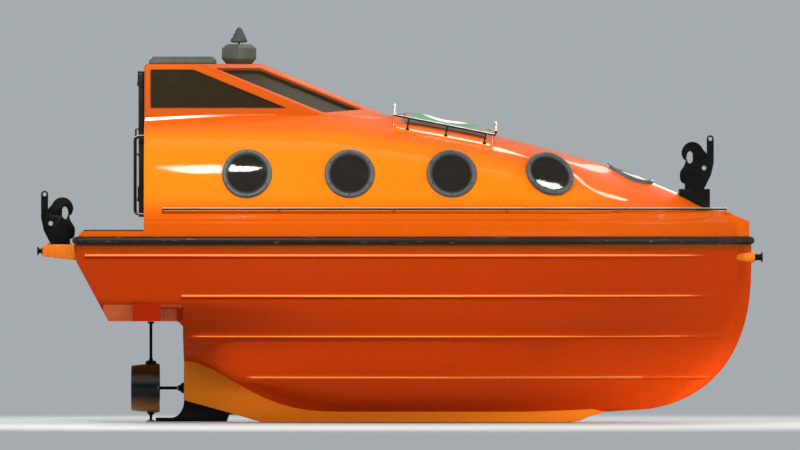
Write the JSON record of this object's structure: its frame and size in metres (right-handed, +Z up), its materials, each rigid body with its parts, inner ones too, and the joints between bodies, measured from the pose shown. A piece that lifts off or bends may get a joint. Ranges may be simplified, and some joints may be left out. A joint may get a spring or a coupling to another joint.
{
  "type": "totally enclosed lifeboat with steering nozzle",
  "caption": "Enclosed lifeboat with a raised steering house, round side windows, lifting hooks, rubber fender and a propeller in a steering nozzle.",
  "frame": {"origin": "on the centreline at the waterline, amidships", "axes": "+X to the bow, +Y to port, +Z up"},
  "size_m": [5.409, 2.3074, 2.946],
  "materials": {
    "hull_gelcoat": "red-orange gelcoat, glossy",
    "keel_gelcoat": "orange gelcoat, satin",
    "canopy_gelcoat": "bright orange gelcoat, very glossy",
    "house_gelcoat": "orange gelcoat, glossy",
    "fender_rubber": "dark rubber, matt",
    "ring_grey": "grey-green moulded ring",
    "dark_glass": "dark tinted, polished",
    "black_steel": "black painted steel",
    "door_black": "black painted panel",
    "stainless": "polished stainless tube",
    "hatch_grey": "grey-green moulding",
    "lamp_grey": "grey lamp housing",
    "lid_paint": "grey lid with plain coloured stripes",
    "nozzle_paint": "gloss black",
    "bronze": "cast bronze",
    "engine_iron": "painted casting"
  },
  "bodies": {
    "boat": {"hull": "hull_gelcoat", "keel_fin": "keel_gelcoat", "heel_shoe": "black_steel", "canopy": "canopy_gelcoat", "wheelhouse": "house_gelcoat", "fender": "fender_rubber", "side_window_stbd": "dark_glass", "side_window_port": "dark_glass", "corner_window_stbd": "dark_glass", "corner_window_port": "dark_glass", "windscreen": "dark_glass", "porthole_ring_stbd_1": "ring_grey", "porthole_ring_stbd_2": "ring_grey", "porthole_ring_stbd_3": "ring_grey", "porthole_ring_stbd_4": "ring_grey", "porthole_ring_port_1": "ring_grey", "porthole_ring_port_2": "ring_grey", "porthole_ring_port_3": "ring_grey", "porthole_ring_port_4": "ring_grey", "porthole_ring_bow": "ring_grey", "porthole_glass_stbd_1": "dark_glass", "porthole_glass_stbd_2": "dark_glass", "porthole_glass_stbd_3": "dark_glass", "porthole_glass_stbd_4": "dark_glass", "porthole_glass_port_1": "dark_glass", "porthole_glass_port_2": "dark_glass", "porthole_glass_port_3": "dark_glass", "porthole_glass_port_4": "dark_glass", "porthole_glass_bow": "dark_glass", "door_frame": "black_steel", "door_handrail_stbd": "stainless", "door_handrail_port": "stainless", "radar_reflector": "hatch_grey", "canopy_light": "lamp_grey", "deck_hatch_plinth": "canopy_gelcoat", "hatch_guard_rail": "stainless", "side_rail_stbd": "stainless", "side_rail_port": "stainless", "stern_bracket": "house_gelcoat", "stern_spool": "black_steel", "bow_fairlead": "house_gelcoat", "bow_spool": "black_steel", "aft_hook_frame": "black_steel", "fore_hook_frame": "black_steel", "fore_hook_plinth": "black_steel", "stern_tube": "black_steel", "counter_box_1": "hull_gelcoat", "counter_box_2": "hull_gelcoat", "engine": "engine_iron"},
    "door": {"door_leaf": "door_black", "door_window": "dark_glass"},
    "roof_lid": {"roof_hatch_lid": "hatch_grey"},
    "deck_lid": {"deck_hatch_lid": "lid_paint"},
    "aft_beak": {"aft_hook_beak": "black_steel"},
    "fore_beak": {"fore_hook_beak": "black_steel"},
    "nozzle": {"steering_nozzle": "nozzle_paint"},
    "screw": {"propeller": "bronze"}
  },
  "joints": [
    {"name": "aft_door", "type": "hinge", "parent": "boat", "child": "door", "pos_m": [-2.047, 0.25, 1.42], "axis": [0, 0, -1], "range_deg": [0, 90]},
    {"name": "roof_hatch", "type": "hinge", "parent": "boat", "child": "roof_lid", "pos_m": [-1.969, 0, 2.023], "axis": [0, -1, 0], "range_deg": [0, 90]},
    {"name": "deck_hatch", "type": "hinge", "parent": "boat", "child": "deck_lid", "pos_m": [-0.066, 0, 1.643], "axis": [0, -1, 0], "range_deg": [0, 85]},
    {"name": "aft_hook_open", "type": "hinge", "parent": "boat", "child": "aft_beak", "pos_m": [-2.706, 0, 0.832], "axis": [0, -1, 0], "range_deg": [0, 75]},
    {"name": "fore_hook_open", "type": "hinge", "parent": "boat", "child": "fore_beak", "pos_m": [2.165, 0, 1.245], "axis": [0, 1, 0], "range_deg": [0, 75]},
    {"name": "nozzle_steer", "type": "hinge", "parent": "boat", "child": "nozzle", "pos_m": [-1.959, 0, -0.395], "axis": [0, 0, 1], "range_deg": [-35, 35]},
    {"name": "propeller_spin", "type": "hinge", "parent": "boat", "child": "screw", "pos_m": [-1.973, 0, -0.395], "axis": [1, 0, 0], "continuous": true}
  ]
}
